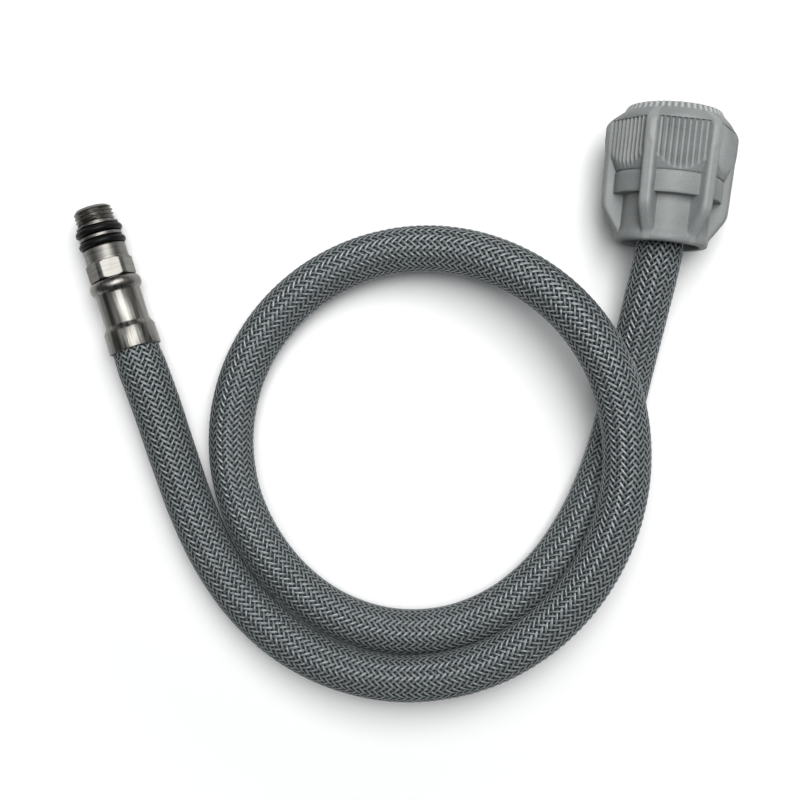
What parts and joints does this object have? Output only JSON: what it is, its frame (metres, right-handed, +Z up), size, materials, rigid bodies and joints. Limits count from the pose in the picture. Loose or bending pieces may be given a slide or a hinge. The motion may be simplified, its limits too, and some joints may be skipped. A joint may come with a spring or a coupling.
{
  "type": "flexible hose",
  "caption": "Braided flexible water hose lying in a loop, with a crimped male threaded tail sealed by rubber rings at one end and a winged plastic union nut at the other.",
  "frame": {"origin": "on the surface that the hose lies on, under the middle of the box round the two end fittings", "axes": "+X from the male end to the union nut's side, +Y the way both fittings point, +Z up from the surface"},
  "size_m": [0.1686, 0.15, 0.0293],
  "materials": {
    "plated_metal": "nickel plated turned and crimped metal, satin with soft streaks",
    "seal_rubber": "black moulded rubber, slightly glossy",
    "braid": "bluish grey braided yarn, flat bundles woven two over two",
    "liner_rubber": "dark smooth inner tube",
    "nut_plastic": "mid grey moulded plastic, fine grain"
  },
  "bodies": {
    "hose": {"inlet_crimp_sleeve": "plated_metal", "inlet_stem": "plated_metal", "inner_seal_ring": "seal_rubber", "outer_seal_ring": "seal_rubber", "hose_braid": "braid", "hose_liner": "liner_rubber", "outlet_crimp_sleeve": "plated_metal", "outlet_tail": "plated_metal", "sealing_washer": "seal_rubber"},
    "coupling": {"union_nut": "nut_plastic"}
  },
  "joints": [
    {"name": "union_nut_turn", "type": "hinge", "parent": "hose", "child": "coupling", "pos_m": [0.06662, 0.01225, 0.01432], "axis": [0.1045, 0.9941, 0.0289], "continuous": true}
  ]
}
